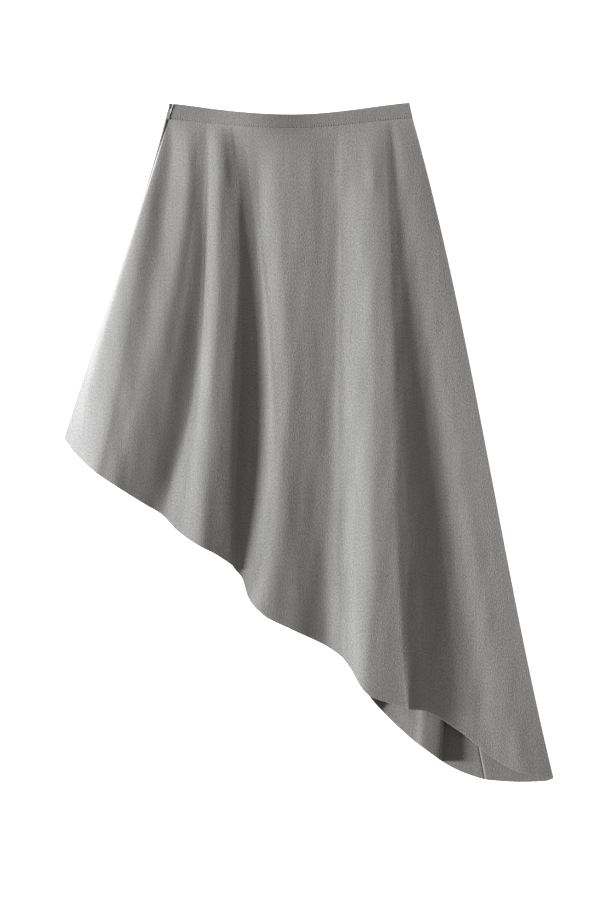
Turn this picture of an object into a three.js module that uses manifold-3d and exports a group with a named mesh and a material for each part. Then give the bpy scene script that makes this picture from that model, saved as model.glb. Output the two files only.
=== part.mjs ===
// Asymmetric midi skirt, laid flat with its front up: short at one side and long at the other.
// Frame, in millimetres: the floor is z = 0, +Z is up, +Y runs from hem to waist,
// and +X runs from the short side, where the zip is, to the long side.

import * as THREE from 'three';
import { mergeVertices } from 'three/addons/utils/BufferGeometryUtils.js';
import Module from 'manifold-3d';

const wasm = await Module();
wasm.setup();

// Cloth, as it stacks up from the floor
const CLOTH = 1.2;
const GAP = 0.3;
const BAND_CLOTH = 1.5;
const TAPE_CLOTH = 1.0;
const BACK_Z = CLOTH / 2;
const FRONT_Z = CLOTH + GAP + CLOTH / 2;
const BACK_BAND_Z = BAND_CLOTH / 2;
const FRONT_BAND_Z = BAND_CLOTH + GAP + BAND_CLOTH / 2;

// Waist: the seam under the band sags between its two ends, and so does the band's top edge
const WAIST_CENTRE = - 32.5;
const WAIST_HALF = 172;
const SEAM_LOW_Y = 438.9;
const SEAM_SAG = 23.1;
const SEAM_EASE = 9.2;
const BAND_HEIGHT = 19.2;
const BAND_FLARE = 2.75;
const BAND_LEAN = 2;
const BAND_BULGE = { x: - 65, halfWidth: 56, height: 7 };
const BAND_ENDS = {
	short: { seamX: - 196.1, topX: - 189.9 },
	long: { seamX: 145, topX: 140.3 },
};

// Front panel: a row for each line that runs from the waist seam to the hem.
// strips: grid strips up to the next line; waistX to hemX: where the line runs, at STATIONS;
// hemY: where it ends; waistZ to hemZ: how high the fold stands, at STATIONS.
const STATIONS = [ 0, 0.25, 0.6, 1 ];
const PLAN_COLUMNS = [ 'strips', 'waistX', 'hipX', 'kneeX', 'hemX', 'hemY' ];
const FRONT_COLUMNS = [ ...PLAN_COLUMNS, 'waistZ', 'hipZ', 'kneeZ', 'hemZ' ];
const FRONT_LINES = {
	'short seam': [ 2, - 196, - 231.7, - 284, - 342.5, 5, 2.5, 1.5, 2, 0 ],
	'short shoulder': [ 3, - 195, - 230.5, - 281, - 327, - 15, 1, 9.5, 16.5, 16 ],
	'short roll': [ 4, - 192, - 223, - 252, - 293, - 45, 1, 11.5, 27, 38.5 ],
	'hip dip': [ 4, - 191, - 201, - 230, - 272, - 59, 2, 9.5, 26.5, 39.5 ],
	'hip crest': [ 3, - 168, - 173, - 208, - 252, - 72, 8, 13, 28, 36.5 ],
	'hip flank': [ 3, - 155, - 160, - 187, - 228, - 87, 7.5, 11.5, 25.5, 31 ],
	'first valley': [ 2, - 143, - 147, - 156.5, - 205, - 101, 6, 9.5, 19, 26.5 ],
	'first flank': [ 3, - 141, - 143, - 152, - 182.5, - 124, 6.5, 9.5, 20, 32.3 ],
	'first crest': [ 1, - 128, - 125, - 132, - 150, - 146, 10, 13, 25.5, 39 ],
	'first side': [ 2, - 123, - 117, - 121, - 134, - 153.8, 9.5, 12.2, 24.7, 36 ],
	'first edge': [ 2, - 117, - 103, - 104, - 106, - 172.8, 8, 10.3, 22, 29 ],
	'first drop': [ 2, - 112, - 96, - 98, - 104, - 176, 7, 9.2, 18, 28.3 ],
	'first foot': [ 2, - 105, - 92, - 93, - 101, - 179.8, 5, 7.3, 8, 26.3 ],
	'deep valley': [ 4, - 92, - 74, - 66, - 93.5, - 189, 3, 3.6, 9.5, 24.7 ],
	'second flank': [ 4, - 73, - 65, - 47, - 84, - 218, 3.2, 4.2, 14.1, 26.8 ],
	'second crest': [ 3, - 35, - 36, - 29, - 62, - 242, 6, 8, 16, 32.4 ],
	'second facet': [ 4, - 8, - 4, - 5, - 26, - 260.3, 6.5, 7, 13.5, 29.5 ],
	'middle valley': [ 3, 37, 37, 31, 24, - 284.5, 4.5, 4, 10, 20 ],
	'third hollow': [ 1, 48.4, 45.4, 43, 45, - 299.2, 5.5, 4.6, 11.2, 22.5 ],
	'third flank': [ 4, 53, 49, 48, 54, - 310, 6, 5, 12, 25 ],
	'third crest': [ 3, 91, 91, 92, 83, - 352.5, 8, 11, 21.5, 33 ],
	'third edge': [ 2, 103, 112, 117, 136, - 370, 6.5, 10, 20.5, 28 ],
	'third drop': [ 2, 107, 122, 132, 138, - 372, 5.5, 8, 17.5, 28 ],
	'third foot': [ 3, 110, 126, 147, 158, - 374, 4.5, 7, 13, 21.5 ],
	'long valley': [ 3, 116, 139, 176, 214, - 407, 2.5, 4, 3.5, 8 ],
	'long rise': [ 4, 123, 157, 196, 256, - 441, 3.5, 2.5, 1.5, 6.5 ],
	'long fall': [ 4, 133, 177, 222, 297, - 462.5, 2, 2, 2, 5.5 ],
	'long seam': [ 0, 145, 201.5, 265.3, 342, - 469.5, 0, 0, 0, 0 ],
};
const FRONT_ROWS = 26;
const ONSET = 0.055;
const WAIST_CROWDING = 1.3;

// Back panel: it lies on the floor, its hem hidden inside the front's up to the long side's inset,
// where one fold and the edge of a layer stand up along the hem.
const BACK_COLUMNS = [ ...PLAN_COLUMNS, 'hemZ' ];
const BACK_LINES = {
	'short seam': [ 4, - 200.8, - 232.5, - 284, - 342.5, 5, 0 ],
	'short hem': [ 4, - 165, - 190, - 236, - 286, - 43, 0 ],
	'hip': [ 4, - 125, - 142, - 170, - 205, - 94, 0 ],
	'first hem': [ 4, - 80, - 82, - 90, - 102, - 166, 0 ],
	'middle hem': [ 4, - 25, - 20, - 8, 30, - 275, 0 ],
	'inset corner': [ 3, 20, 34, 58, 84, - 355, 17 ],
	'inset': [ 3, 36, 56, 90, 106, - 380, 9 ],
	'fold rise': [ 3, 54, 84, 130, 146, - 417, 12.5 ],
	'fold crest': [ 2, 60, 92, 143, 160, - 427.5, 15 ],
	'fold edge': [ 1, 72, 106, 166, 183, - 444.5, 12 ],
	'fold foot': [ 3, 74, 109, 169, 186, - 447, 0 ],
	'landing': [ 3, 86, 122, 177, 214, - 462, 0 ],
	'layer foot': [ 1, 98, 135, 183.5, 246.5, - 472.3, 0 ],
	'layer edge': [ 3, 100, 138, 186, 248.5, - 472.8, 0.5 ],
	'long hem': [ 2, 122, 168, 221.5, 295, - 476, 0.5 ],
	'long corner': [ 1, 137, 190, 250, 330, - 474.8, 0.2 ],
	'long seam': [ 0, 145, 201.5, 265.3, 342, - 471, 0 ],
};
const BACK_ROWS = 18;
const HEM_CROWDING = 1.6;
const BACK_FOLD_LENGTH = 240;

// Concealed zip in the short side seam: its tape shows beside the band and just below it
const ZIP_LENGTH = 205;
const TAPE_WIDTH = 4.3;
const TAPE_TOP_X = - 195;
const TAPE_ROWS = 40;
const TAPE_STRIPS = 2;
const TAPE_STEP_LENGTH = 7;

// Slider: two plates round the tape, joined by a post above its end, and an arch for the pull
const SLIDER = { x: - 194, y: 469.5, tiltDeg: - 12, length: 8, topWidth: 4.6, tailWidth: 3.4, plate: 0.6 };
const SLIDER_CORNER = 0.8;
const POST = { width: 1.4, length: 1.6, inset: 0.7 };
const ARCH = { span: 3.8, height: 1.9, bar: 0.6, width: 1.2 };

// Pull tab: a crossbar under the arch, two rails round the arch's leg, and a tongue to hold
const PULL = { bar: 0.8, length: 18.5, neckWidth: 3.7, tongueWidth: 4.2 };
const PULL_WINDOW = { width: 1.9, length: 3.9 };
const PULL_TIP_RADIUS = 1.4;
const PULL_Z = 2 * ( BAND_CLOTH + GAP ) + PULL.bar / 2;

const material = ( settings ) => new THREE.MeshStandardMaterial( settings );
const clothMaterial = ( color ) => material( { color, roughness: 0.85, metalness: 0 } );
const metalMaterial = ( color ) => material( { color, roughness: 0.35, metalness: 0.9 } );

const mix = THREE.MathUtils.lerp;

// A smooth curve through the knots that never overshoots them: at each knot its slope is
// the harmonic mean of the slopes on either side, or level where they turn.
function smoothThrough( knots, values ) {

	const last = knots.length - 1;
	const between = ( knot, i ) => ( values[ i + 1 ] - values[ i ] ) / ( knot - knots[ i ] );
	const rise = knots.slice( 1 ).map( between );
	const slope = values.map( ( value, i ) => {

		if ( i === 0 ) return rise[ 0 ];
		if ( i === last ) return rise[ last - 1 ];
		const product = rise[ i - 1 ] * rise[ i ];
		return product > 0 ? 2 * product / ( rise[ i - 1 ] + rise[ i ] ) : 0;

	} );

	return ( s ) => {

		const found = knots.findIndex( ( knot ) => knot > s );
		const i = found < 0 ? last - 1 : Math.max( found - 1, 0 );
		const width = knots[ i + 1 ] - knots[ i ];
		const t = ( s - knots[ i ] ) / width;
		const start = ( 1 + 2 * t ) * ( 1 - t ) ** 2 * values[ i ] + t * ( 1 - t ) ** 2 * width * slope[ i ];
		const end = t * t * ( 3 - 2 * t ) * values[ i + 1 ] + t * t * ( t - 1 ) * width * slope[ i + 1 ];
		return start + end;

	};

}

// A panel's columns as smooth functions of how many strips lie between a point and the short seam
function panelColumns( table, columns ) {

	const lines = Object.values( table );
	const knots = [];
	lines.reduce( ( before, [ strips ] ) => {

		knots.push( before );
		return before + strips;

	}, 0 );
	const column = ( key ) => smoothThrough( knots, lines.map( ( line ) => line[ columns.indexOf( key ) ] ) );
	const plan = [ 'waistX', 'hipX', 'kneeX', 'hemX' ].map( column );
	return { strips: knots.at( - 1 ), plan, column };

}

// How much each station counts at v, so that the cubic through all four is met
function stationWeights( v ) {

	return STATIONS.map( ( own, i ) => STATIONS.reduce( ( product, other, j ) => {

		return i === j ? product : product * ( v - other ) / ( own - other );

	}, 1 ) );

}

// The value at s and v of four columns, one for each station
function alongLine( columns, s, v ) {

	const weights = stationWeights( v );
	return columns.reduce( ( sum, station, i ) => sum + weights[ i ] * station( s ), 0 );

}

function waistShare( x ) {

	return ( x - WAIST_CENTRE ) / WAIST_HALF;

}

function seamY( x ) {

	return SEAM_LOW_Y + SEAM_SAG * waistShare( x ) ** 2 - SEAM_EASE * waistShare( x ) ** 4;

}

function bandTopY( x ) {

	return seamY( x ) + BAND_HEIGHT + BAND_FLARE * waistShare( x ) ** 2;

}

// How far the seam side of the front band stands above its top edge, most at the middle
function bandLean( x ) {

	return BAND_LEAN * Math.max( 0, 1 - waistShare( x ) ** 2 );

}

// How far the front band bulges over the folds below it
function bandBulge( x ) {

	return BAND_BULGE.height * Math.exp( - ( ( ( x - BAND_BULGE.x ) / BAND_BULGE.halfWidth ) ** 2 ) );

}

// A closed wall of one thickness about a middle surface: middle(s, v) gives its points,
// and the two faces lie half the thickness to either side, joined by a rim all round.
function wall( { columns, rows, thickness, middle, upright = () => false } ) {

	const across = columns.length;
	const step = 0.02;
	const positions = [];
	const faces = [];

	for ( const side of [ 1, - 1 ] ) {

		for ( const v of rows ) for ( const s of columns ) {

			const point = middle( s, v );
			const normal = new THREE.Vector3( 0, 0, 1 );
			if ( ! upright( s, v ) ) {

				const alongS = middle( s + step, v ).sub( middle( s - step, v ) );
				const alongV = middle( s, v + step / across ).sub( middle( s, v - step / across ) );
				normal.crossVectors( alongS, alongV ).normalize();
				if ( normal.z < 0 ) normal.negate();

			}

			positions.push( ...point.addScaledVector( normal, side * thickness / 2 ).toArray() );

		}

	}

	const lower = across * rows.length;
	const at = ( i, j ) => j * across + i;
	const quad = ( a, b, c, d ) => faces.push( a, b, c, a, c, d );
	const lastI = across - 1;
	const lastJ = rows.length - 1;

	for ( let j = 0; j < lastJ; j ++ ) {

		for ( let i = 0; i < lastI; i ++ ) {

			quad( at( i, j ), at( i, j + 1 ), at( i + 1, j + 1 ), at( i + 1, j ) );
			quad( lower + at( i, j ), lower + at( i + 1, j ), lower + at( i + 1, j + 1 ), lower + at( i, j + 1 ) );

		}

		quad( at( 0, j ), lower + at( 0, j ), lower + at( 0, j + 1 ), at( 0, j + 1 ) );
		quad( at( lastI, j ), at( lastI, j + 1 ), lower + at( lastI, j + 1 ), lower + at( lastI, j ) );

	}

	for ( let i = 0; i < lastI; i ++ ) {

		quad( at( i, 0 ), at( i + 1, 0 ), lower + at( i + 1, 0 ), lower + at( i, 0 ) );
		quad( at( i, lastJ ), lower + at( i, lastJ ), lower + at( i + 1, lastJ ), at( i + 1, lastJ ) );

	}

	const geometry = new THREE.BufferGeometry();
	geometry.setAttribute( 'position', new THREE.Float32BufferAttribute( positions, 3 ) );
	geometry.setIndex( faces );
	geometry.computeVertexNormals();
	return geometry;

}

const counted = ( count ) => Array.from( { length: count + 1 }, ( unused, i ) => i );

// Front panel: each line leaves the seam level with the band and swells into its fold
function frontPanel() {

	const { strips, plan, column } = panelColumns( FRONT_LINES, FRONT_COLUMNS );
	const hemY = column( 'hemY' );
	const heights = [ 'waistZ', 'hipZ', 'kneeZ', 'hemZ' ].map( column );

	const middle = ( s, v ) => {

		const waistX = plan[ 0 ]( s );
		const settle = Math.exp( - Math.max( v, 0 ) / ONSET );
		const seamZ = FRONT_BAND_Z + bandLean( waistX ) + bandBulge( waistX );
		const foldZ = FRONT_Z + alongLine( heights, s, v );
		const y = mix( seamY( waistX ) - GAP / 2, hemY( s ), v );
		return new THREE.Vector3( alongLine( plan, s, v ), y, mix( foldZ, seamZ, settle ) );

	};

	const rows = counted( FRONT_ROWS ).map( ( row ) => ( row / FRONT_ROWS ) ** WAIST_CROWDING );
	return wall( { columns: counted( strips ), rows, thickness: CLOTH, middle, upright: ( s, v ) => v === 0 } );

}

// Back panel: flat on the floor but for what stands up in the last stretch above its hem
function backPanel() {

	const { strips, plan, column } = panelColumns( BACK_LINES, BACK_COLUMNS );
	const hemY = column( 'hemY' );
	const hemZ = column( 'hemZ' );

	const middle = ( s, v ) => {

		const seam = seamY( plan[ 0 ]( s ) ) - GAP / 2;
		const aboveHem = ( seam - hemY( s ) ) * ( 1 - v );
		const standing = 1 - THREE.MathUtils.smoothstep( aboveHem, 0, BACK_FOLD_LENGTH );
		const y = mix( seam, hemY( s ), v );
		return new THREE.Vector3( alongLine( plan, s, v ), y, BACK_Z + hemZ( s ) * standing );

	};

	const rows = counted( BACK_ROWS ).map( ( row ) => 1 - ( 1 - row / BACK_ROWS ) ** HEM_CROWDING );
	return wall( { columns: counted( strips ), rows, thickness: CLOTH, middle } );

}

// One half of the waistband, between its two end lines, at height z and raised by rise(x, v)
function waistband( z, rise = () => 0 ) {

	const strips = 24;
	const middle = ( s, v ) => {

		const endX = ( end ) => mix( end.seamX, end.topX, v );
		const x = mix( endX( BAND_ENDS.short ), endX( BAND_ENDS.long ), s / strips );
		return new THREE.Vector3( x, mix( seamY( x ) + GAP / 2, bandTopY( x ), v ), z + rise( x, v ) );

	};

	const rows = [ 1, 2 / 3, 1 / 3, 0 ];
	return wall( { columns: counted( strips ), rows, thickness: BAND_CLOTH, middle, upright: () => true } );

}

// Zip tape: it lies on the back panel along the short seam, and sinks beside the band into the slider
function zipTape() {

	const { plan, column } = panelColumns( BACK_LINES, BACK_COLUMNS );
	const seam = seamY( TAPE_TOP_X );
	const hem = column( 'hemY' )( 0 );
	const postY = SLIDER.y + SLIDER.length / 2 - POST.inset - POST.length - GAP;
	const onPanel = CLOTH + GAP + TAPE_CLOTH / 2;
	const inSlider = SLIDER.plate + GAP + TAPE_CLOTH / 2;
	const edgeX = ( y ) => y > seam
		? mix( plan[ 0 ]( 0 ), TAPE_TOP_X, ( y - seam ) / ( bandTopY( TAPE_TOP_X ) - seam ) )
		: alongLine( plan, 0, ( seam - y ) / ( seam - hem ) );

	const middle = ( s, v ) => {

		const y = postY - v * ZIP_LENGTH;
		const z = mix( onPanel, inSlider, THREE.MathUtils.smoothstep( y, seam, seam + TAPE_STEP_LENGTH ) );
		return new THREE.Vector3( edgeX( y ) + s * TAPE_WIDTH / TAPE_STRIPS, y, z );

	};

	const rows = counted( TAPE_ROWS ).map( ( row ) => ( row / TAPE_ROWS ) ** HEM_CROWDING );
	const columns = counted( TAPE_STRIPS );
	return wall( { columns, rows, thickness: TAPE_CLOTH, middle, upright: () => true } );

}

// Joins closed shapes into one closed shape
function joined( geometries ) {

	const solids = geometries.map( ( geometry ) => {

		geometry.deleteAttribute( 'normal' );
		geometry.deleteAttribute( 'uv' );
		const merged = mergeVertices( geometry );
		const vertProperties = new Float32Array( merged.attributes.position.array );
		const triVerts = new Uint32Array( merged.index.array );
		return new wasm.Manifold( new wasm.Mesh( { numProp: 3, vertProperties, triVerts } ) );

	} );
	const mesh = solids.reduce( ( whole, solid ) => whole.add( solid ) ).getMesh();
	const geometry = new THREE.BufferGeometry();
	geometry.setAttribute( 'position', new THREE.BufferAttribute( mesh.vertProperties, 3 ) );
	geometry.setIndex( new THREE.BufferAttribute( mesh.triVerts, 1 ) );
	return geometry;

}

function box( width, length, height, x, y, z ) {

	return new THREE.BoxGeometry( width, length, height ).translate( x, y, z );

}

// A slider plate seen from above: wide shoulders, a narrower tail, all corners rounded
function plateShape() {

	const { length, topWidth, tailWidth } = SLIDER;
	const r = SLIDER_CORNER;
	const top = length / 2;
	const shape = new THREE.Shape();
	shape.moveTo( - tailWidth / 2 + r, - top );
	shape.lineTo( tailWidth / 2 - r, - top );
	shape.quadraticCurveTo( tailWidth / 2, - top, tailWidth / 2, - top + r );
	shape.quadraticCurveTo( tailWidth / 2, 0, topWidth / 2, top / 2 );
	shape.quadraticCurveTo( topWidth / 2, top, r, top );
	shape.lineTo( - r, top );
	shape.quadraticCurveTo( - topWidth / 2, top, - topWidth / 2, top / 2 );
	shape.quadraticCurveTo( - tailWidth / 2, 0, - tailWidth / 2, - top + r );
	shape.quadraticCurveTo( - tailWidth / 2, - top, - tailWidth / 2 + r, - top );
	return shape;

}

// Slider, z = 0 at the underside of its lower plate, the zip running along y
const UPPER_PLATE_Z = SLIDER.plate + GAP + TAPE_CLOTH + GAP;
const SLIDER_TOP = UPPER_PLATE_Z + SLIDER.plate;
const SINK = 0.1;

function zipSlider() {

	const settings = { depth: SLIDER.plate, bevelEnabled: false, curveSegments: 4 };
	const plate = ( z ) => new THREE.ExtrudeGeometry( plateShape(), settings ).translate( 0, 0, z );
	const postY = SLIDER.length / 2 - POST.inset - POST.length / 2;
	const postHeight = UPPER_PLATE_Z - SLIDER.plate + 2 * SINK;
	const post = box( POST.width, POST.length, postHeight, 0, postY, SLIDER.plate - SINK + postHeight / 2 );

	const legHeight = ARCH.height + ARCH.bar + SINK;
	const legY = ARCH.span / 2 + ARCH.bar / 2;
	const leg = ( y ) => box( ARCH.width, ARCH.bar, legHeight, 0, y, SLIDER_TOP - SINK + legHeight / 2 );
	const barZ = SLIDER_TOP + ARCH.height + ARCH.bar / 2;
	const bar = box( ARCH.width, ARCH.span + 2 * ARCH.bar, ARCH.bar, 0, 0, barZ );
	return joined( [ plate( 0 ), plate( UPPER_PLATE_Z ), post, leg( - legY ), leg( legY ), bar ] );

}

// Pull tab: its crossbar's axis is the origin, and it lies towards -y
function zipPull() {

	const { bar, length, neckWidth, tongueWidth } = PULL;
	const shape = new THREE.Shape();
	shape.moveTo( - neckWidth / 2, bar / 2 );
	shape.lineTo( - neckWidth / 2, - PULL_WINDOW.length );
	shape.quadraticCurveTo( - tongueWidth / 2, - length / 2, - tongueWidth / 2, - length + PULL_TIP_RADIUS );
	shape.quadraticCurveTo( - tongueWidth / 2, - length, 0, - length );
	shape.quadraticCurveTo( tongueWidth / 2, - length, tongueWidth / 2, - length + PULL_TIP_RADIUS );
	shape.quadraticCurveTo( tongueWidth / 2, - length / 2, neckWidth / 2, - PULL_WINDOW.length );
	shape.lineTo( neckWidth / 2, bar / 2 );
	shape.closePath();

	const opening = new THREE.Path();
	const side = PULL_WINDOW.width / 2;
	opening.moveTo( - side, - bar / 2 );
	opening.lineTo( - side, - PULL_WINDOW.length );
	opening.quadraticCurveTo( 0, - PULL_WINDOW.length - side, side, - PULL_WINDOW.length );
	opening.lineTo( side, - bar / 2 );
	opening.closePath();
	shape.holes.push( opening );
	const settings = { depth: bar, bevelEnabled: false, curveSegments: 5 };
	return new THREE.ExtrudeGeometry( shape, settings ).translate( 0, 0, - bar / 2 );

}

function named( name, geometry, material ) {

	const mesh = new THREE.Mesh( geometry, material );
	mesh.name = name;
	return mesh;

}

const frontRise = ( x, v ) => bandBulge( x ) + bandLean( x ) * ( 1 - v );
const skirt = new THREE.Group();
skirt.add(
	named( 'back_panel', backPanel(), clothMaterial( '#8b8a87' ) ),
	named( 'front_panel', frontPanel(), clothMaterial( '#8c8b89' ) ),
	named( 'back_waistband', waistband( BACK_BAND_Z ), clothMaterial( '#868582' ) ),
	named( 'front_waistband', waistband( FRONT_BAND_Z, frontRise ), clothMaterial( '#868582' ) ),
	named( 'zip_tape', zipTape(), clothMaterial( '#6e6c69' ) ),
);

const zip = new THREE.Group();
zip.position.set( SLIDER.x, SLIDER.y, 0 );
zip.rotation.z = THREE.MathUtils.degToRad( SLIDER.tiltDeg );
const pull = named( 'zip_pull', zipPull(), metalMaterial( '#a3a19d' ) );
pull.position.z = PULL_Z;
zip.add( named( 'zip_slider', zipSlider(), metalMaterial( '#5c5a57' ) ), pull );
skirt.add( zip );

export default skirt;
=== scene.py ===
# %% [markdown]
# # An asymmetric midi skirt, laid flat
#
# The skirt lies on a pale surface with its front up and the camera looks straight down on it.
# Its construction (the panels, the waistband in two halves, the concealed zip with its slider
# and pull tab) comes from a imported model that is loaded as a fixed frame. This file adds what
# the eye sees: cloth with folds, a hem, seams, a weave, and the zip's small metal parts.
#
# The frame is in metres: the surface is z = 0, +Z is up towards the camera, +Y runs from hem
# to waist, and +X runs from the short side, where the zip is, to the long side.

import math

import bmesh
import bpy
import numpy as np
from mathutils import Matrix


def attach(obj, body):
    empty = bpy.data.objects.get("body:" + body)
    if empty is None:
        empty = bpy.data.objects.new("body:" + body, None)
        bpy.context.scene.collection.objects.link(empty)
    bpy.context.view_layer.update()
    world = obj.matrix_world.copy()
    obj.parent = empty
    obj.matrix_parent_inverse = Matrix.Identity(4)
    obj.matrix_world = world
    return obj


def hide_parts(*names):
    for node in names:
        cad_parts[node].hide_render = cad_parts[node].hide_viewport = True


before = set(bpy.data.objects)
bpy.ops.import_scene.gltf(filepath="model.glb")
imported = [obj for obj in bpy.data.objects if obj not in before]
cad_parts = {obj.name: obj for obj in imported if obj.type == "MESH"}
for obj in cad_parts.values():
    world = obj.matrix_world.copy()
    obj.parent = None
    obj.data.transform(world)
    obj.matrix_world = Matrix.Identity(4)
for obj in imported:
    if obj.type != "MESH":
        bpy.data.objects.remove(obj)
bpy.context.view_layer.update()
MM = 0.001
print("nodes:", sorted(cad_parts))

# %% [markdown]
# ## Camera
#
# A garment laid on a table is photographed from straight above, so that its outline is not
# distorted. A long lens far away keeps the tall folds from leaning outwards. The photographed
# frame is two wide by three high, and one of its 600 by 900 pixels covers 1.4 mm of the table.

# %% Camera straight above
def add_object(name, data):
    """An object at the origin that holds the data, linked into the scene."""
    thing = bpy.data.objects.new(name, data)
    bpy.context.scene.collection.objects.link(thing)
    return thing


PIXEL_MM = 1.4
PICTURE_HEIGHT_PX = 900
PICTURE_CENTRE_MM = (-12.5, -11.3)
LENS_MM = 135.0
SENSOR_MM = 36.0

camera_data = bpy.data.cameras.new("camera")
camera_data.lens = LENS_MM
camera_data.sensor_width = SENSOR_MM
camera_height = PIXEL_MM * PICTURE_HEIGHT_PX * MM * LENS_MM / SENSOR_MM
camera = add_object("camera", camera_data)
camera.location = (PICTURE_CENTRE_MM[0] * MM, PICTURE_CENTRE_MM[1] * MM, camera_height)
bpy.context.scene.camera = camera
print("camera height:", round(camera_height, 3), "m")

# %% [markdown]
# ## Smooth curves through a few named lines
#
# A draped panel is easiest to describe as a dressmaker would: a handful of fold lines that run
# from the waist seam to the hem, each with its place and its height. Everything between two
# lines is filled in by a smooth curve. A cubic that never overshoots its knots is the right
# one here, because a fold must not dip below the table between two low lines.

# %% Curves across the panel
def smooth_through(knots, values):
    """Cubic pieces through the knots. At each knot the slope is the harmonic mean of the
    slopes on either side, or zero where they turn, so that the curve never overshoots."""
    knots = np.asarray(knots, float)
    values = np.asarray(values, float)
    rise = np.diff(values) / np.diff(knots)
    product = rise[:-1] * rise[1:]
    total = np.where(product > 0, rise[:-1] + rise[1:], 1.0)
    slope = np.concatenate([rise[:1], np.where(product > 0, 2 * product / total, 0.0), rise[-1:]])

    def curve(s):
        i = np.clip(np.searchsorted(knots, s, side="right") - 1, 0, len(knots) - 2)
        width = knots[i + 1] - knots[i]
        t = (s - knots[i]) / width
        start = (1 + 2 * t) * (1 - t) ** 2 * values[i] + t * (1 - t) ** 2 * width * slope[i]
        end = t**2 * (3 - 2 * t) * values[i + 1] + t**2 * (t - 1) * width * slope[i + 1]
        return start + end

    return curve


def smoothstep(x, low, high):
    """0 below low, 1 above high, and 3t^2 - 2t^3 of the share t between them."""
    t = np.clip((x - low) / (high - low), 0.0, 1.0)
    return t * t * (3 - 2 * t)


sample = smooth_through([0, 1, 2], [0, 1, 1])
print("a curve from 0 up to 1 and level after it, halfway up and halfway on:", sample(0.5), sample(1.5))

# %% [markdown]
# ## The cut and its folds
#
# The tables say where each fold line runs, in millimetres: its x at the waist seam, at a
# quarter and at six tenths of the way down, and at the hem; the y where it ends; and how high
# the fold stands at the same four places. The same lines shape the solids of the frame. Here
# they carry a little more, because the surface is finer.

# %% Fold lines of the front panel
STATIONS = (0.0, 0.25, 0.6, 1.0)
PLAN_KEYS = ("strips", "waist_x", "hip_x", "knee_x", "hem_x", "hem_y")
FRONT_KEYS = PLAN_KEYS + ("waist_z", "hip_z", "knee_z", "hem_z")
FRONT_LINES = {
    "short seam": (2, -196, -231.7, -284, -342.5, 5, 2.5, 1.5, 2, 0),
    "short shoulder": (3, -195, -230.5, -281, -327, -15, 1, 9.5, 16.5, 16),
    "short roll": (4, -192, -223, -252, -293, -45, 1, 11.5, 27, 38.5),
    "hip dip": (4, -191, -201, -230, -272, -59, 2, 9.5, 26.5, 39.5),
    "hip crest": (3, -168, -173, -208, -252, -72, 8, 13, 28, 36.5),
    "hip flank": (3, -155, -160, -187, -228, -87, 7.5, 11.5, 25.5, 31),
    "first valley": (2, -143, -147, -156.5, -205, -101, 6, 9.5, 19, 26.5),
    "first flank": (3, -141, -143, -152, -182.5, -124, 6.5, 9.5, 20, 32.3),
    "first crest": (1, -128, -125, -132, -150, -146, 10, 13, 25.5, 39),
    "first side": (2, -123, -117, -121, -134, -153.8, 9.5, 12.2, 24.7, 36),
    "first edge": (2, -117, -103, -104, -106, -172.8, 7.4, 10.1, 22, 29),
    "first drop": (2, -112, -96, -98, -104, -176, 5.6, 8.6, 18, 28.3),
    "first foot": (2, -105, -92, -93, -101, -179.8, 2.8, 6.6, 8, 26.3),
    "deep valley": (4, -92, -74, -66, -93.5, -189, 3, 3.6, 9.5, 24.7),
    "second flank": (4, -73, -65, -47, -84, -218, 3.2, 4.2, 14.1, 26.8),
    "second crest": (3, -35, -36, -29, -62, -242, 6, 8, 16, 32.4),
    "second facet": (4, -8, -4, -5, -26, -260.3, 6.5, 7, 13.5, 29.5),
    "middle valley": (3, 37, 37, 31, 24, -284.5, 4.5, 4, 10, 20),
    "third hollow": (1, 48.4, 45.4, 43, 45, -299.2, 5.5, 4.6, 11.2, 22.5),
    "third flank": (4, 53, 49, 48, 54, -310, 6, 5, 12, 25),
    "third crest": (3, 91, 91, 92, 83, -352.5, 8, 11, 21.5, 33),
    "third edge": (2, 103, 112, 117, 136, -370, 6.5, 10, 20.5, 28),
    "third drop": (2, 107, 122, 132, 138, -372, 5.5, 8, 17.5, 28),
    "third foot": (3, 110, 126, 147, 158, -374, 4.5, 7, 13, 21.5),
    "long valley": (3, 116, 139, 176, 214, -407, 2.5, 4, 3.5, 8),
    "long rise": (4, 123, 157, 196, 256, -441, 3.5, 2.5, 1.5, 6.5),
    "long fall": (4, 133, 177, 222, 297, -462.5, 2, 2, 2, 5.5),
    "long seam": (0, 145, 201.5, 265.3, 342, -469.5, 0, 0, 0, 0),
}

# %% Lines of the back panel
BACK_KEYS = PLAN_KEYS + ("hem_z",)
BACK_LINES = {
    "short seam": (4, -200.8, -232.5, -284, -342.5, 5, 0),
    "short hem": (4, -165, -190, -236, -286, -43, 0),
    "hip": (4, -125, -142, -170, -205, -94, 0),
    "first hem": (4, -80, -82, -90, -102, -166, 0),
    "middle hem": (4, -25, -20, -8, 30, -275, 0),
    "inset corner": (3, 20, 34, 58, 84, -355, 17),
    "inset": (3, 36, 56, 90, 106, -380, 9),
    "fold rise": (3, 54, 84, 130, 146, -417, 12.5),
    "fold crest": (2, 60, 92, 143, 160, -427.5, 15),
    "fold edge": (1, 72, 106, 166, 183, -444.5, 12),
    "fold foot": (3, 74, 109, 169, 186, -447, 0),
    "landing": (3, 86, 122, 177, 214, -462, 0),
    "layer brink": (1, 97, 134, 182.5, 244.3, -472, 0.4),
    "layer foot": (1, 98, 135, 183.5, 246.4, -472.3, -0.1),
    "layer edge": (3, 100, 138, 186, 248.5, -472.8, 1),
    "long hem": (2, 122, 168, 221.5, 295, -476, 0.5),
    "long corner": (1, 137, 190, 250, 330, -474.8, 0.2),
    "long seam": (0, 145, 201.5, 265.3, 342, -471, 0),
}


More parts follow.
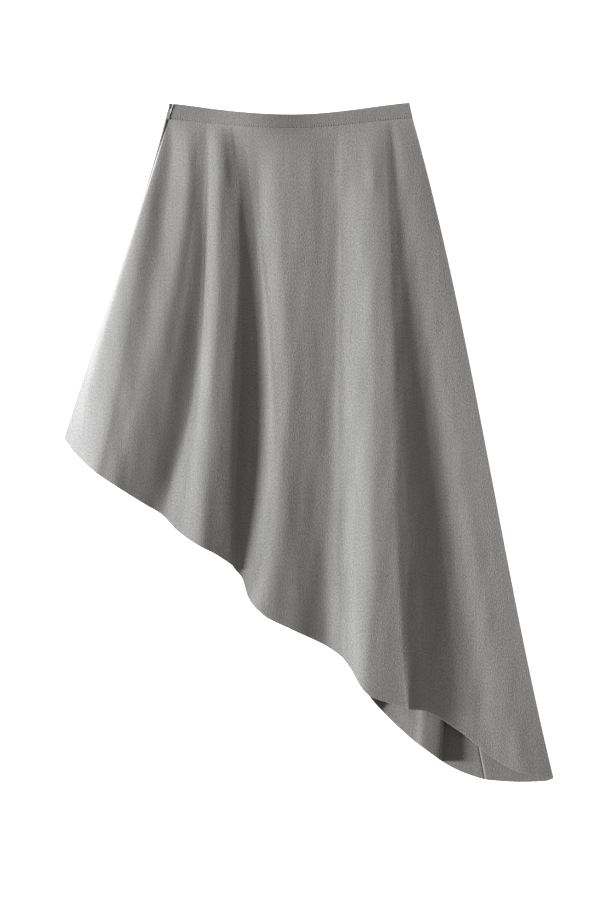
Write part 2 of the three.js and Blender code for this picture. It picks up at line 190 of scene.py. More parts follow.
class Panel:
    """The columns of a table as smooth functions of s, the strips counted from the short side."""

    def __init__(self, lines, keys):
        columns = dict(zip(keys, zip(*lines.values())))
        knots = np.concatenate([[0], np.cumsum(columns["strips"][:-1])])
        self.strips = int(knots[-1])
        self.line_at = dict(zip(lines, knots))
        for key in keys[1:]:
            setattr(self, key, smooth_through(knots, columns[key]))

    def along(self, quantity, s, v):
        """x or z at v: the cubic in v through the values at the four stations."""
        total = 0.0
        for own, place in zip(STATIONS, ("waist", "hip", "knee", "hem")):
            weight = 1.0
            for other in STATIONS:
                if other != own:
                    weight = weight * (v - other) / (own - other)
            total = total + weight * getattr(self, f"{place}_{quantity}")(s)
        return total


front = Panel(FRONT_LINES, FRONT_KEYS)
back = Panel(BACK_LINES, BACK_KEYS)
print("front strips:", front.strips, "back strips:", back.strips)

# %% [markdown]
# ## Layers
#
# Flat cloth is a stack. The back panel touches the table, the front lies on it, and the two
# halves of the waistband, folded double, are a little thicker. The seam under the band sags
# between its ends, as a waist does when the skirt is laid down.

# %% Layers and waist line
CLOTH = 0.7
BAND_CLOTH = 1.4
TAPE_CLOTH = 0.8
BACK_Z = 0.46
FRONT_Z = 1.6
BACK_BAND_Z = 0.75
FRONT_BAND_Z = 2.55
BAND_LEAN = 2.0
BAND_RISE = 7.0
BAND_RISE_X = -65.0
BAND_RISE_WIDTH = 56.0
WAIST_CENTRE = -32.5
WAIST_HALF = 172.0
SEAM_LOW_Y = 438.9
SEAM_SAG = 23.1
SEAM_EASE = 9.2
BAND_HEIGHT = 19.2
BAND_FLARE = 2.75


def waist_share(x):
    """The place along the waist: -1 at the short side's end, 0 in the middle, 1 at the long."""
    return (x - WAIST_CENTRE) / WAIST_HALF


def seam_y(x):
    """The waist seam: lowest at the middle of the waist, a parabola that eases off at its ends."""
    return SEAM_LOW_Y + SEAM_SAG * waist_share(x) ** 2 - SEAM_EASE * waist_share(x) ** 4


def band_top_y(x):
    """The band's top edge: the seam moved up by the band's height, a little more at its ends."""
    return seam_y(x) + BAND_HEIGHT + BAND_FLARE * waist_share(x) ** 2


def band_rise(x):
    """The front band's bulge: a bell over its middle, a little towards the short side."""
    return BAND_RISE * np.exp(-(((x - BAND_RISE_X) / BAND_RISE_WIDTH) ** 2))


def band_lean(x):
    """How far the seam side of the front band stands above its top edge."""
    return BAND_LEAN * np.maximum(0.0, 1 - waist_share(x) ** 2)


print("waist seam sags by", round(SEAM_SAG - SEAM_EASE, 1), "mm, band is", BAND_HEIGHT, "mm high")

# %% [markdown]
# ## A sheet of cloth as a closed shell
#
# Cloth has two faces and an edge. The shell is made from its middle surface: both faces lie
# half the thickness away along the surface's own normal, and a rim joins them all round. The
# thickness is a grid too, so that a turned hem can be thicker and an edge can be round. Each
# shell carries a UV map in metres, measured along the cloth itself, so that a weave keeps its
# real scale in and out of the folds.

# %% Shell from a middle surface
def grid_normals(points):
    """Unit normals of a grid of points: the cross product of its two central differences."""
    along_row = np.gradient(points, axis=1)
    down_column = np.gradient(points, axis=0)
    normal = np.cross(along_row, down_column)
    normal /= np.linalg.norm(normal, axis=-1, keepdims=True)
    return np.where(normal[..., 2:] < 0, -normal, normal)


def cloth_metres(points, anchor):
    """Each point's place in the weave: u is x at the anchor column and from there the length
    over the folds along the weft, v is y at the top row and from there the warp's length."""
    across = np.linalg.norm(np.diff(points[..., (0, 2)], axis=1), axis=-1)
    across = np.concatenate([np.zeros((len(points), 1)), np.cumsum(across, axis=1)], axis=1)
    across += points[:, anchor : anchor + 1, 0] - across[:, anchor : anchor + 1]
    down = np.linalg.norm(np.diff(points[..., (1, 2)], axis=0), axis=-1)
    down = np.concatenate([np.zeros((1, points.shape[1])), np.cumsum(down, axis=0)], axis=0)
    return np.stack([across, points[:1, :, 1] - down], axis=-1)


def grid_faces(rows, columns):
    """The four corners of each cell of the upper face, the lower face and the rim."""
    index = np.arange(rows * columns).reshape(rows, columns)
    a, b, c, d = index[:-1, :-1], index[1:, :-1], index[1:, 1:], index[:-1, 1:]
    upper = np.stack([a, b, c, d], axis=-1).reshape(-1, 4)
    low = rows * columns
    lower = upper[:, ::-1] + low
    border = np.concatenate([index[:, 0], index[-1, 1:], index[-2::-1, -1], index[0, -2:0:-1]])
    following = np.roll(border, -1)
    rim = np.stack([border, border + low, following + low, following], axis=-1)
    return np.concatenate([upper, lower, rim])


print("faces of a closed shell on a 3 by 3 grid:", len(grid_faces(3, 3)))


def shell(name, middle, thickness, anchor=0, normals=None):
    """A closed shell about a grid of middle points in mm, with its UV map in metres."""
    if normals is None:
        normals = grid_normals(middle)
    offset = normals * (thickness[..., None] / 2)
    both = np.concatenate([(middle + offset).reshape(-1, 3), (middle - offset).reshape(-1, 3)])
    faces = grid_faces(*middle.shape[:2])
    mesh = bpy.data.meshes.new(name)
    mesh.from_pydata((both * MM).tolist(), [], faces.tolist())
    uv = np.tile(cloth_metres(middle * MM, anchor).reshape(-1, 2), (2, 1))
    layer = mesh.uv_layers.new(name="cloth")
    layer.data.foreach_set("uv", uv[faces.reshape(-1)].astype(np.float32).reshape(-1))
    cells = (middle.shape[0] - 1) * (middle.shape[1] - 1)
    mesh.polygons.foreach_set("use_smooth", np.arange(len(faces)) < 2 * cells)
    mesh.update()
    size = np.ptp(both, axis=0).round(1)
    upper_m2 = sum(polygon.area for polygon in mesh.polygons[:cells])
    print(name, "faces:", len(faces), "size mm:", size, "upper face m2:", round(upper_m2, 4))
    return add_object(name, mesh)


# %% [markdown]
# ## Where the rows of a panel go
#
# Most rows share the panel's length evenly, but the seam and the hem need rows a millimetre
# apart. So the rows nearest the seam and nearest the hem are given as distances, and the rest
# fill the space between. The hem is turned up once and pressed: it is thicker for its own
# width and ends in a round fold.

# %% Rows, hem and edges
SEAM_ROWS_MM = (0.0, 0.5, 1.1, 2.0, 3.5, 6.0, 9.0, 13.0, 18.0, 24.0)
HEM_ROWS_MM = (14.0, 12.5, 11.5, 10.6, 9.7, 8.0, 5.0, 2.5, 1.2, 0.6, 0.25, 0.0)
SIDE_COLUMN = 0.02
STRIP_COLUMNS = 3
HEM_WIDTH = 11.0
HEM_STEP_INSIDE = 1.2
HEM_STEP_OUTSIDE = 0.6
HEM_EXTRA = 0.12
EDGE_ROUND = 0.8
EDGE_LEAST = 0.4
SEAM_ROUND = 1.4
SEAM_LEAST = 0.2


def row_shares(length, count):
    """Shares v of the way down, one row of the result per row of the grid."""
    seam = np.array(SEAM_ROWS_MM)[:, None] / length
    hem = 1 - np.array(HEM_ROWS_MM)[:, None] / length
    t = np.linspace(0, 1, count + 2)[1:-1, None]
    return np.concatenate([seam, seam[-1] + (hem[0] - seam[-1]) * t, hem])


def column_places(strips):
    """Evenly spaced s, with one more just inside each side edge to keep the edge crisp."""
    even = np.linspace(0, strips, strips * STRIP_COLUMNS + 1)
    return np.concatenate([even[:1], [SIDE_COLUMN], even[1:-1], [strips - SIDE_COLUMN], even[-1:]])


def column_of(panel, line):
    """A fold line's column in the grid, with one more for the column inside the side edge."""
    return int(panel.line_at[line]) * STRIP_COLUMNS + 1


def rounded(distance, radius=EDGE_ROUND, least=EDGE_LEAST):
    """Share of the full thickness at a distance from an edge: a quarter circle, cut off."""
    t = np.clip(distance / radius, 0.0, 1.0)
    return least + (1 - least) * np.sqrt(1 - (1 - t) ** 2)


def hem_thickness(from_hem, from_seam):
    """The cloth's thickness, with the turned hem's second layer, round at both ends."""
    turned = 1 - smoothstep(from_hem, HEM_WIDTH - HEM_STEP_INSIDE, HEM_WIDTH + HEM_STEP_OUTSIDE)
    layers = CLOTH + HEM_EXTRA * turned
    return layers * rounded(from_hem) * rounded(from_seam, SEAM_ROUND, SEAM_LEAST)


print("hem is", HEM_WIDTH, "mm wide and", round(CLOTH + HEM_EXTRA, 2), "mm thick")

# %% [markdown]
# ## Small creases and unevenness
#
# No cloth is as even as its big folds. Shallow troughs and ridges are listed, each
# with its two ends, its half width and its height in mm. A slow unevenness of a fraction of a
# millimetre is a sum of a few waves that do not repeat within the skirt.

# %% Creases
CREASE_KEYS = ("x0", "y0", "x1", "y1", "half_width", "height")
FRONT_CREASES = {
    "under the band, short side": (-150, 438, -160, 372, 7, -0.5),
    "under the band, first crest": (-122, 436, -118, 350, 6, 0.6),
    "beside the deep valley": (-62, 434, -70, 330, 9, -0.5),
    "centre left": (-8, 436, -4, 300, 10, -0.4),
    "centre": (14, 434, 18, 190, 9, -0.5),
    "centre right": (48, 436, 44, 330, 8, 0.4),
    "third crest, waist": (80, 440, 92, 340, 7, 0.6),
    "long side dark line": (157, 316, 288, -328, 11, -0.3),
    "long side ridge": (132, 400, 256, -300, 12, 0.2),
    "first valley, low": (-176, 30, -196, -70, 8, -0.5),
    "hip, low": (-250, 60, -268, -30, 9, -0.6),
    "second crest, low": (-40, 0, -48, -170, 10, 0.5),
    "third flank, low": (52, -60, 50, -250, 9, -0.5),
}
BACK_CREASES = {
    "inside, by the fold": (128, -360, 146, -402, 9, 0.5),
    "inside, by the layer": (262, -440, 268, -468, 7, -0.3),
}
CREASE_FADE = 0.3
WAVES = (
    (0.10, 61.0, 310.0, 0.4),
    (0.08, -43.0, 190.0, 2.1),
    (0.06, 29.0, 270.0, 4.4),
    (0.05, 23.0, -150.0, 5.2),
)


def crease_height(x, y, creases):
    """Sum over the creases of height times a bell across it and a soft fade at its ends."""
    total = np.zeros_like(x)
    for row in creases.values():
        c = dict(zip(CREASE_KEYS, row))
        dx, dy = c["x1"] - c["x0"], c["y1"] - c["y0"]
        length = math.hypot(dx, dy)
        along = ((x - c["x0"]) * dx + (y - c["y0"]) * dy) / length**2
        beside = ((x - c["x0"]) * dy - (y - c["y0"]) * dx) / length
        ends = smoothstep(along, 0.0, CREASE_FADE) * (1 - smoothstep(along, 1 - CREASE_FADE, 1.0))
        total += c["height"] * np.exp(-((beside / c["half_width"]) ** 2)) * ends
    return total


def unevenness(x, y):
    """Sum of waves: each row gives its height, its wavelengths along x and y, and its start."""
    total = np.zeros_like(x)
    for height, wave_x, wave_y, start in WAVES:
        total += height * np.sin(2 * math.pi * (x / wave_x + y / wave_y) + start)
    return total


print("creases on the front:", len(FRONT_CREASES), "on the back:", len(BACK_CREASES))

# %% [markdown]
# ## Front panel
#
# The front leaves the seam level with the band and swells into its folds within a few
# centimetres. Nothing may sink into the back, so the small creases fade out where the fold is
# nearly touching it.

# %% Front panel
ONSET = 0.055
FRONT_ROWS = 188
FRONT_LIVELY_MM = (0.6, 3.0)


def front_middle(s, v):
    """x by the fold lines, y evenly from seam to hem, z from the band's level to the fold's."""
    waist_x = front.waist_x(s)
    x = front.along("x", s, v)
    y = seam_y(waist_x) * (1 - v) + front.hem_y(s) * v
    settle = np.exp(-v / ONSET)
    fold = front.along("z", s, v)
    lively = smoothstep(fold, *FRONT_LIVELY_MM) * (1 - settle)
    fold = fold + lively * (crease_height(x, y, FRONT_CREASES) + unevenness(x, y))
    band_level = FRONT_BAND_Z + band_lean(waist_x) + band_rise(waist_x)
    z = band_level * settle + (FRONT_Z + fold) * (1 - settle)
    return np.stack([x, y, z], axis=-1)


s = column_places(front.strips)[None, :]
length = seam_y(front.waist_x(s)) - front.hem_y(s)
v = row_shares(length, FRONT_ROWS)
s = np.broadcast_to(s, v.shape)
front_cloth = shell(
    "front_cloth",
    front_middle(s, v),
    hem_thickness((1 - v) * length, v * length),
    anchor=column_of(front, "middle valley"),
)

# %% [markdown]
# ## Back panel
#
# The back lies flat on the table and is hidden but for its inside, which shows under the
# front's hem at the long side, with one soft fold standing along it.

# %% Back panel
BACK_FOLD_LENGTH = 240.0
BACK_ROWS = 150
BACK_LIVELY_MM = (0.3, 2.0)


def back_middle(s, v):
    """Flat, but for what stands up in the last stretch above the hem."""
    seam = seam_y(back.waist_x(s))
    x = back.along("x", s, v)
    y = seam * (1 - v) + back.hem_y(s) * v
    above_hem = (seam - back.hem_y(s)) * (1 - v)
    standing = 1 - smoothstep(above_hem, 0, BACK_FOLD_LENGTH)
    fold = back.hem_z(s) * standing
    lively = smoothstep(fold, *BACK_LIVELY_MM)
    z = BACK_Z + fold + lively * crease_height(x, y, BACK_CREASES)
    return np.stack([x, y, z], axis=-1)


s = column_places(back.strips)[None, :]
length = seam_y(back.waist_x(s)) - back.hem_y(s)
v = row_shares(length, BACK_ROWS)
s = np.broadcast_to(s, v.shape)
back_cloth = shell(
    "back_cloth",
    back_middle(s, v),
    np.minimum(hem_thickness((1 - v) * length, v * length), 2 * BACK_Z),
    anchor=column_of(back, "middle hem"),
)

# %% [markdown]
# ## Waistband
#
# A waistband is a strip folded double along its top edge and sewn on at the seam. Both halves
# are a shell with round edges. The front half leans a little, because the cloth below lifts
# its seam.

# %% Waistband halves
# Each end's x at the seam and at the top edge
BAND_ENDS = {
    "short": (-196.1, -189.9),
    "long": (145.0, 140.3),
}
BAND_COLUMNS = 900
BAND_ROWS_MM = (0.0, 0.25, 0.6, 1.2, 2.0, 3.2, 5.0, 7.5, 10.0)
BAND_EDGE_ROUND = 1.4
BAND_EDGE_LEAST = 0.2
BAND_END_ROUND = 1.0
PUCKER_MM = 0.28
PUCKER_PITCH_MM = 3.3
PUCKER_FADE_MM = 1.6
PHASE_DRIFT = 1.3
PHASE_DRIFT_MM = 11.0
DEPTH_DRIFT = 0.25
DEPTH_DRIFT_MM = 17.0


def pucker(x, from_seam):
    """A small wave along the seam, its phase and depth drifting, that fades out up the band."""
    wave = np.sin(2 * math.pi * x / PUCKER_PITCH_MM + PHASE_DRIFT * np.sin(x / PHASE_DRIFT_MM))
    depth = PUCKER_MM * (1 - DEPTH_DRIFT + DEPTH_DRIFT * np.sin(x / DEPTH_DRIFT_MM))
    return depth * wave * np.exp(-from_seam / PUCKER_FADE_MM)


def waistband(name, z, lean):
    """x between the two end lines, y from seam to top edge, z falling from seam to top. lean is
    the share of the lean and the bulge: 1 for the front half, 0 for the flat one behind."""
    edge = np.array(BAND_ROWS_MM)
    from_seam = np.concatenate([edge, BAND_HEIGHT - edge[-2::-1]])
    v = (from_seam / BAND_HEIGHT)[::-1, None]
    t = np.linspace(0, 1, BAND_COLUMNS)[None, :]
    short_x, long_x = (low * (1 - v) + high * v for low, high in BAND_ENDS.values())
    x = short_x * (1 - t) + long_x * t
    bottom = seam_y(x)
    y = bottom * (1 - v) + band_top_y(x) * v
    height = z + lean * (band_lean(x) * (1 - v) + band_rise(x)) + pucker(x, v * BAND_HEIGHT)
    middle = np.stack([x, y, height], axis=-1)
    across = (long_x - short_x) * np.minimum(t, 1 - t)
    up = BAND_HEIGHT * np.minimum(v, 1 - v)
    ends = rounded(across, BAND_END_ROUND)
    thickness = BAND_CLOTH * rounded(up, BAND_EDGE_ROUND, BAND_EDGE_LEAST) * ends
    upright = np.broadcast_to(np.array([0.0, 0.0, 1.0]), middle.shape)
    return shell(name, middle, thickness, anchor=BAND_COLUMNS // 2, normals=upright)


front_band = waistband("front_band", z=FRONT_BAND_Z, lean=1.0)
back_band = waistband("back_band", z=BACK_BAND_Z, lean=0.0)

# %% [markdown]
# ## Zip tape
#
# A concealed zip is a narrow woven tape sewn along the seam allowance, with a rolled lip that
# hides its coil. It is laid as a ribbon along the back panel's short edge, sinks beside the
# band to the level of the slider, and its lip is a thin tube swept along the same path.

# %% Shapes of the zip tape and its lip
TAPE_TOP_X = -195.0
TAPE_TOP_Y = 470.9
ZIP_LENGTH = 205.0
TAPE_WIDTH = 4.3
TAPE_ON_PANEL_Z = 1.9
TAPE_BY_BAND_Z = 1.4
TAPE_SINK_MM = 7.0
TAPE_ROWS = 260
TAPE_COLUMNS = 9
TAPE_EDGE_ROUND = 0.5
LIP_RADIUS = 0.55
LIP_RISE = 0.6 * LIP_RADIUS
LIP_INSET = 1.7
LIP_SIDES = 12
LIP_FIRST_ROW = 6


def tape_edge(y):
    """The tape's outer edge: x along the back's short seam, then on towards the band's corner."""
    seam = seam_y(TAPE_TOP_X)
    above = (y - seam) / (band_top_y(TAPE_TOP_X) - seam)
    beside_band = back.waist_x(0.0) * (1 - above) + TAPE_TOP_X * above
    beside_panel = back.along("x", 0.0, (seam - y) / (seam - back.hem_y(0.0)))
    return np.where(y > seam, beside_band, beside_panel)


def tape_height(y):
    """The tape's level: that of the panel below the seam, sinking beside the band."""
    sink = smoothstep(y, seam_y(TAPE_TOP_X), seam_y(TAPE_TOP_X) + TAPE_SINK_MM)
    return TAPE_ON_PANEL_Z * (1 - sink) + TAPE_BY_BAND_Z * sink


def closed_tube(name, path, radius, sides):
    """Rings round a path that runs nearly along y, joined, with a cap at each end."""
    turn = np.linspace(0, 2 * math.pi, sides, endpoint=False)
    ring = np.stack([np.cos(turn), np.zeros(sides), np.sin(turn)], axis=-1) * radius
    points = (path[:, None, :] + ring[None, :, :]).reshape(-1, 3)
    index = np.arange(len(path) * sides).reshape(len(path), sides)
    following = np.roll(index, -1, axis=1)
    walls = np.stack([index[:-1], following[:-1], following[1:], index[1:]], axis=-1).reshape(-1, 4)
    mesh = bpy.data.meshes.new(name)
    caps = [index[0, ::-1].tolist(), index[-1].tolist()]
    mesh.from_pydata((points * MM).tolist(), [], walls.tolist() + caps)
    mesh.polygons.foreach_set("use_smooth", np.arange(len(mesh.polygons)) < len(walls))
    mesh.update()
    print(name, "faces:", len(mesh.polygons))
    return add_object(name, mesh)


y = TAPE_TOP_Y - np.linspace(0, ZIP_LENGTH, TAPE_ROWS)
across = np.linspace(0, TAPE_WIDTH, TAPE_COLUMNS)
grid = np.broadcast_arrays(tape_edge(y)[:, None] + across, y[:, None], tape_height(y)[:, None])
middle = np.stack(grid, axis=-1)
edge_share = rounded(np.minimum(across, TAPE_WIDTH - across), TAPE_EDGE_ROUND)
zip_ribbon = shell("zip_ribbon", middle, TAPE_CLOTH * np.broadcast_to(edge_share, middle.shape[:2]))
lip_z = tape_height(y) + TAPE_CLOTH / 2 + LIP_RISE
lip_path = np.stack([tape_edge(y) + LIP_INSET, y, lip_z], axis=-1)[LIP_FIRST_ROW:]
zip_lip = closed_tube("zip_lip", lip_path, LIP_RADIUS, LIP_SIDES)

# %% [markdown]
# ## Colours and nodes
#
# Colours are written as they are seen, as sRGB hex values, and turned to linear light by one
# function. Another adds a node with its settings and links. Every finish here is a base colour
# between two near tones and a little relief, so each of these has a function too.

# %% Colour and node helpers
def linear(hex_colour):
    """sRGB hex to linear: c/12.92 up to 0.04045, else ((c + 0.055)/1.055) to the power 2.4."""
    channels = [int(hex_colour[i : i + 2], 16) / 255 for i in (1, 3, 5)]
    lit = [c / 12.92 if c <= 0.04045 else ((c + 0.055) / 1.055) ** 2.4 for c in channels]
    return (*lit, 1.0)


def add_node(tree, kind, settings=None, inputs=None):
    """Adds a node. Settings are its properties; inputs are values, or sockets to link from."""
    node = tree.nodes.new(kind)
    for key, value in (settings or {}).items():
        setattr(node, key, value)
    for key, value in (inputs or {}).items():
        if isinstance(value, bpy.types.NodeSocket):
            tree.links.new(value, node.inputs[key])
        else:
            node.inputs[key].default_value = value
    return node


def new_material(name, finish):
    """A material with one shader. The finish gives that shader's fixed inputs by name."""
    material = bpy.data.materials.new(name)
    material.use_nodes = True
    tree = material.node_tree
    tree.nodes.clear()
    shader = add_node(tree, "ShaderNodeBsdfPrincipled", inputs=finish)
    add_node(tree, "ShaderNodeOutputMaterial", inputs={"Surface": shader.outputs["BSDF"]})
    return material, tree, shader


def colour_between(tree, shader, dark, light, tone):
    """Base colour: dark where the tone is 0, light where it is 1, and a mix between."""
    ends = {"Factor": tone, "A": linear(dark), "B": linear(light)}
    mixed = add_node(tree, "ShaderNodeMix", {"data_type": "RGBA"}, ends)
    tree.links.new(mixed.outputs["Result"], shader.inputs["Base Color"])


def relief(tree, shader, height, strength, depth_mm):
    """Bump: at full strength a height of 1 stands depth_mm above a height of 0."""
    inputs = {"Height": height, "Strength": strength, "Distance": depth_mm * MM}
    bump = add_node(tree, "ShaderNodeBump", inputs=inputs)
    tree.links.new(bump.outputs["Normal"], shader.inputs["Normal"])


print("a grey seen as #808080 is", round(linear("#808080")[0], 3), "in linear light")

# %% [markdown]
# ## Crepe
#
# The cloth is a heavy polyester crepe. Its twisted yarns give a fine, granular, matt face with
# a faint sheen at a low angle and faint streaks along the warp. Real yarns are 0.3 mm apart,
# finer than the picture shows, so a second, coarser grain carries the look at arm's length.

# %% Crepe material
YARN_MM = 0.5
GRAIN_MM = (1.7, 2.4)
STREAK_MM = (2.2, 60.0)
CLOUD_MM = 60.0
GRAIN_TONE = 2.0
STREAK_TONE = 0.5
CLOUD_TONE = 0.2
TONE_SHIFT = -0.9
YARN_RELIEF = 0.3
CREPE_FINISH = {
    "Roughness": 0.82,
    "IOR": 1.5,
    "Specular IOR Level": 0.25,
    "Sheen Weight": 0.12,
    "Sheen Roughness": 0.45,
}


def crepe(name, light, dark, grain_depth_mm):
    """Base colour between two near greys by grain, streaks and clouds; bump by grain and yarn."""
    material, tree, shader = new_material(name, CREPE_FINISH)
    place = add_node(tree, "ShaderNodeTexCoord").outputs["UV"]

    def noise(size_x_mm, size_y_mm, detail):
        scale = (1 / (size_x_mm * MM), 1 / (size_y_mm * MM), 1.0)
        mapped = add_node(tree, "ShaderNodeMapping", inputs={"Vector": place, "Scale": scale})
        inputs = {"Vector": mapped.outputs["Vector"], "Scale": 1.0, "Detail": detail}
        return add_node(tree, "ShaderNodeTexNoise", inputs=inputs).outputs["Fac"]

    def weighted(value, weight, plus):
        settings = {"operation": "MULTIPLY_ADD"}
        return add_node(tree, "ShaderNodeMath", settings, {0: value, 1: weight, 2: plus}).outputs[0]

    grain = noise(*GRAIN_MM, detail=2.0)
    yarn = noise(YARN_MM, YARN_MM * 2, detail=1.0)
    streak = noise(*STREAK_MM, detail=2.0)
    tone = weighted(noise(CLOUD_MM, CLOUD_MM, detail=1.0), CLOUD_TONE, TONE_SHIFT)
    tone = weighted(streak, STREAK_TONE, tone)
    tone = weighted(grain, GRAIN_TONE, tone)
    colour_between(tree, shader, dark, light, tone)
    height = weighted(yarn, YARN_RELIEF, grain)
    relief(tree, shader, height, strength=1.0, depth_mm=grain_depth_mm)
    print("material:", name, "from", dark, "to", light)
    return material


skirt_crepe = crepe("polyester_crepe", light="#8f8f8f", dark="#6c6c6c", grain_depth_mm=0.45)
# Darker inside: partly the duller reverse face, partly painted shade under the front's hem.
inside_crepe = crepe("crepe_reverse_and_painted_shade", light="#7f7f7e", dark="#60605f", grain_depth_mm=0.5)
# The band's crepe is painted darker than the skirt's, as painted shade on the band.
band_crepe = crepe("band_crepe_painted_shade", light="#868686", dark="#656565", grain_depth_mm=0.5)

# %% [markdown]
# ## Zip tape and metal
#
# The tape is a close woven polyester ribbon, darker than the cloth, and its dark colour also
# carries painted shade along the zip's edge. Slider and pull are cast zinc under a grey lacquer:
# satin, slightly uneven, with soft highlights along their edges. The slider is painted much
# darker than the pull, as painted shade under the pull.

# %% Tape and lacquered zinc
RIB_MM = 0.8
RIB_DEPTH_MM = 0.2
CASTING_PER_METRE = 900.0
CASTING_DEPTH_MM = 0.1
LACQUER_ROUGHNESS = {"To Min": 0.3, "To Max": 0.45}


def woven_tape():
    """Ribs across the tape: a wave along its length, in colour and in bump."""
    material, tree, shader = new_material("woven_tape_and_painted_shade", {"Roughness": 0.7})
    place = add_node(tree, "ShaderNodeTexCoord").outputs["UV"]
    rib = add_node(
        tree,
        "ShaderNodeTexWave",
        {"bands_direction": "Y"},
        {"Vector": place, "Scale": 1 / (RIB_MM * MM * 2 * math.pi), "Distortion": 0.6},
    ).outputs["Fac"]
    # Dark tape colour: partly the tape's own, partly painted shade along the zip's edge.
    colour_between(tree, shader, dark="#34322f", light="#45433f", tone=rib)
    relief(tree, shader, rib, strength=0.5, depth_mm=RIB_DEPTH_MM)
    return material


def lacquered_zinc(name, light, dark):
    """Lacquer over a faintly uneven casting: colour, roughness and bump from one small noise."""
    material, tree, shader = new_material(name, {"Metallic": 0.6})
    place = add_node(tree, "ShaderNodeTexCoord").outputs["Object"]
    grain = {"Vector": place, "Scale": CASTING_PER_METRE, "Detail": 2.0}
    uneven = add_node(tree, "ShaderNodeTexNoise", inputs=grain).outputs["Fac"]
    rough = add_node(tree, "ShaderNodeMapRange", inputs={"Value": uneven, **LACQUER_ROUGHNESS})
    tree.links.new(rough.outputs["Result"], shader.inputs["Roughness"])
    colour_between(tree, shader, dark, light, uneven)
    relief(tree, shader, uneven, strength=0.2, depth_mm=CASTING_DEPTH_MM)
    return material


tape_weave_and_shade = woven_tape()
lip_weave = crepe("zip_lip_crepe", light="#8a8a8a", dark="#707070", grain_depth_mm=0.3)
pull_lacquer = lacquered_zinc("lacquered_zinc_pull", light="#b5b3af", dark="#a5a39f")
# The slider is painted much darker than the pull, as painted shade under the pull.
slider_shaded_zinc = lacquered_zinc("zinc_slider_painted_shade", light="#5a5854", dark="#4a4845")
for material in (tape_weave_and_shade, pull_lacquer, slider_shaded_zinc):
    print("material:", material.name, "nodes:", len(material.node_tree.nodes))

# %% [markdown]
# ## Dress the pieces
#
# Every new piece rides on the body that carries it, stands for its node of the frame, which is
# hidden, and takes its own material. The metal parts are copies of their solids with the edges
# rounded, since a cast part has no sharp edge.

# %% Cloth pieces
for piece, node, slot, material in (
    (front_cloth, "front_panel", "skirt_cloth", skirt_crepe),
    (back_cloth, "back_panel", "skirt_cloth", inside_crepe),
    (front_band, "front_waistband", "band_cloth", band_crepe),
    (back_band, "back_waistband", "band_cloth", band_crepe),
):
    piece.data.materials.append(material)
    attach(piece, "skirt")
    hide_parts(node)
    print(piece.name, "stands for", node)


# %% Metal parts with round edges
MERGE_MM = 0.001
FLAT_WITHIN_DEG = 2
SHARP_OVER_DEG = 35
EDGE_SEGMENTS = 3
SLIDER_EDGE_MM = 0.15
PULL_EDGE_MM = 0.25


def rounded_copy(node_name, name, edge_mm, body, material):
    """A copy of a solid with its doubles merged, its flat faces rejoined and its edges beveled."""
    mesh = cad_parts[node_name].data.copy()
    mesh.name = name
    mesh.materials.clear()
    work = bmesh.new()
    work.from_mesh(mesh)
    bmesh.ops.remove_doubles(work, verts=work.verts, dist=MERGE_MM * MM)
    flat = math.radians(FLAT_WITHIN_DEG)
    bmesh.ops.dissolve_limit(work, angle_limit=flat, verts=work.verts, edges=work.edges)
    work.to_mesh(mesh)
    work.free()
    piece = add_object(name, mesh)
    bevel = piece.modifiers.new("edges", "BEVEL")
    bevel.width = edge_mm * MM
    bevel.segments = EDGE_SEGMENTS
    bevel.limit_method = "ANGLE"
    bevel.angle_limit = math.radians(SHARP_OVER_DEG)
    bevel.harden_normals = True
    mesh.materials.append(material)
    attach(piece, body)
    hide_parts(node_name)
    print(name, "faces:", len(mesh.polygons))


rounded_copy("zip_slider", "slider_casting", SLIDER_EDGE_MM, "skirt", slider_shaded_zinc)
rounded_copy("zip_pull", "pull_tab", PULL_EDGE_MM, "pull", pull_lacquer)

# %% Zip tape and lip
zip_ribbon.data.materials.append(tape_weave_and_shade)
zip_lip.data.materials.append(lip_weave)
for piece in (zip_ribbon, zip_lip):
    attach(piece, "skirt")
    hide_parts("zip_tape")
    print(piece.name, "stands for zip_tape")
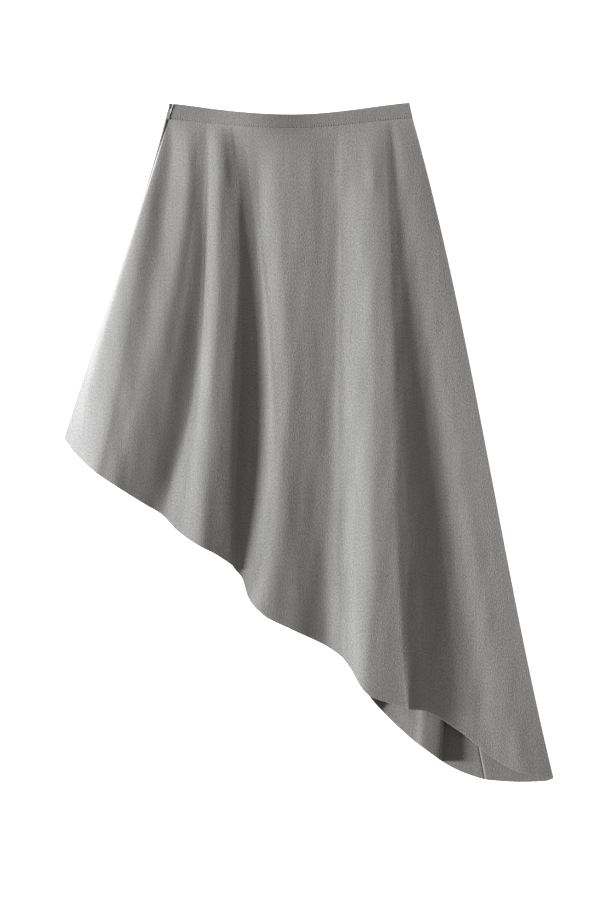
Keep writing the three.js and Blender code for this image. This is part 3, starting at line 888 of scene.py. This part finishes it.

# %% [markdown]
# ## The cut of each sheet
#
# Each panel is a sheet of cloth. The area of its upper face, which shell prints, is measured
# along the cloth over its folds, so it is more than the panel measures as it lies.

# %% [markdown]
# ## Floor and light
#
# The light comes from one large soft box low at the left, which draws every fold, with an even,
# slightly warm room to fill the shadows. The floor is white paper with a glow of its own, so
# that it stays blank white round the skirt, as behind a picture that was cut out.

# %% Floor
FLOOR_M = 8.0
FLOOR_DROP_M = 0.0005
CLOUDS_PER_METRE = 3.0
PAPER_FINISH = {
    "Roughness": 0.95,
    "Specular IOR Level": 0.0,
    "Emission Color": (1.0, 1.0, 1.0, 1.0),
    "Emission Strength": 0.9,
}


def paper():
    """White paper that glows: a plain bright base with a faint, slow unevenness."""
    material, tree, shader = new_material("white_paper", PAPER_FINISH)
    place = add_node(tree, "ShaderNodeTexCoord").outputs["Object"]
    clouds = {"Vector": place, "Scale": CLOUDS_PER_METRE, "Detail": 1.0}
    cloud = add_node(tree, "ShaderNodeTexNoise", inputs=clouds).outputs["Fac"]
    colour_between(tree, shader, dark="#fbfbfb", light="#fdfdfd", tone=cloud)
    return material


half = FLOOR_M / 2
corners = [(-half, -half, 0), (half, -half, 0), (half, half, 0), (-half, half, 0)]
floor_mesh = bpy.data.meshes.new("floor")
floor_mesh.from_pydata(corners, [], [(0, 1, 2, 3)])
floor_mesh.materials.append(paper())
floor = add_object("floor", floor_mesh)
floor.location.z = -FLOOR_DROP_M
print("floor:", FLOOR_M, "m square")

# %% Light
KEY_ELEVATION_DEG = 16.5
KEY_AZIMUTH_DEG = 176.0
KEY_WIDTH_DEG = 12.0
KEY_STRENGTH = 10.55
KEY_COLOUR = (0.985, 0.987, 0.992)
ROOM_COLOUR = (1.0, 0.935, 0.865, 1.0)
ROOM_STRENGTH = 0.34

key_data = bpy.data.lights.new("soft_box", "SUN")
key_data.angle = math.radians(KEY_WIDTH_DEG)
key_data.energy = KEY_STRENGTH
key_data.color = KEY_COLOUR
key = add_object("soft_box", key_data)
key.rotation_euler = (math.radians(90 - KEY_ELEVATION_DEG), 0, math.radians(KEY_AZIMUTH_DEG + 90))

world = bpy.data.worlds.new("room")
world.use_nodes = True
room = world.node_tree.nodes["Background"]
room.inputs["Color"].default_value = ROOM_COLOUR
room.inputs["Strength"].default_value = ROOM_STRENGTH
bpy.context.scene.world = world
bpy.context.scene.view_settings.view_transform = "Standard"
print("light:", KEY_ELEVATION_DEG, "degrees above the floor, strength", KEY_STRENGTH, "room", ROOM_STRENGTH)
